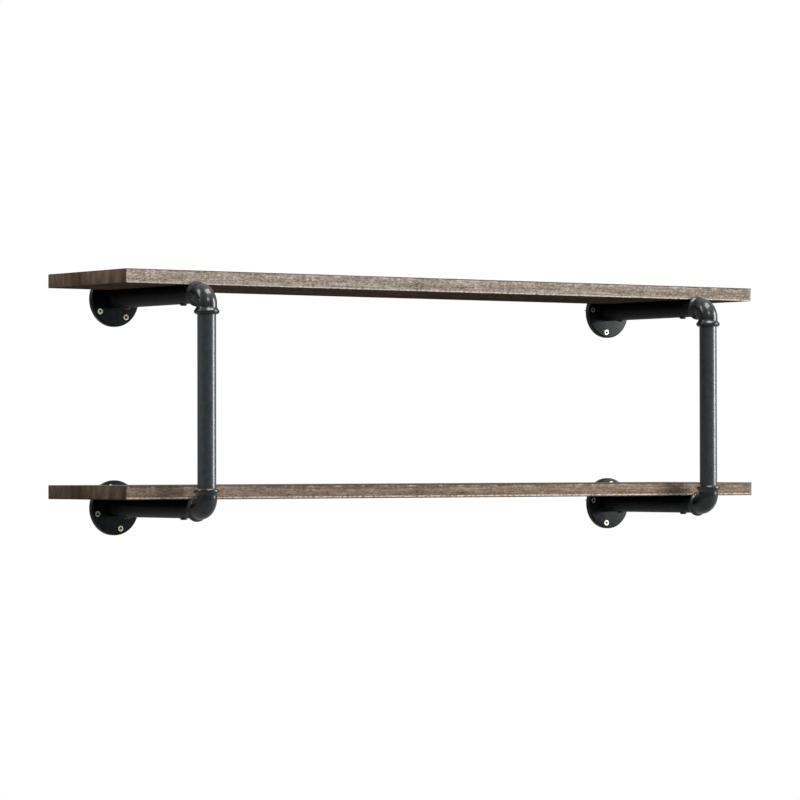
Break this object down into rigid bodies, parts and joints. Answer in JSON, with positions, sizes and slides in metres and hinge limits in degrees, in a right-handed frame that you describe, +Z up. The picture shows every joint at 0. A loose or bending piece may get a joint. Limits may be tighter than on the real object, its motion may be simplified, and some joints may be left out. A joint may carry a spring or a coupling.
{
  "type": "wall-mounted pipe shelf",
  "caption": "Two-tier wall shelf of black pipe: wood boards lie on arms from round wall flanges, joined in front by uprights with beaded elbows.",
  "frame": {"origin": "on the wall plane, midway between the four flanges", "axes": "+X right along the boards, +Y into the wall, +Z up; the front faces -Y"},
  "size_m": [1.2, 0.3006, 0.402],
  "materials": {
    "board_wood": "weathered grey-brown grain",
    "pipe_black": "satin black coat",
    "elbow_black": "satin black coat on a cast skin",
    "flange_black": "gloss black coat",
    "zinc_screw": "zinc plate",
    "black_screw": "black oxide"
  },
  "bodies": {
    "root": {"lower_board": "board_wood", "upper_board": "board_wood", "wall_flange_lower_left": "flange_black", "wall_flange_lower_right": "flange_black", "wall_flange_upper_left": "flange_black", "wall_flange_upper_right": "flange_black", "arm_pipe_lower_left": "pipe_black", "arm_pipe_lower_right": "pipe_black", "arm_pipe_upper_left": "pipe_black", "arm_pipe_upper_right": "pipe_black", "elbow_lower_left": "elbow_black", "elbow_lower_right": "elbow_black", "elbow_upper_left": "elbow_black", "elbow_upper_right": "elbow_black", "upright_pipe_left": "pipe_black", "upright_pipe_right": "pipe_black", "wall_screws_lower_left": "zinc_screw", "wall_screws_lower_right": "zinc_screw", "wall_screws_upper_left": "zinc_screw", "wall_screws_upper_right": "zinc_screw", "board_screws_lower_left": "black_screw", "board_screws_lower_right": "black_screw", "board_screws_upper_left": "black_screw", "board_screws_upper_right": "black_screw"}
  },
  "joints": []
}
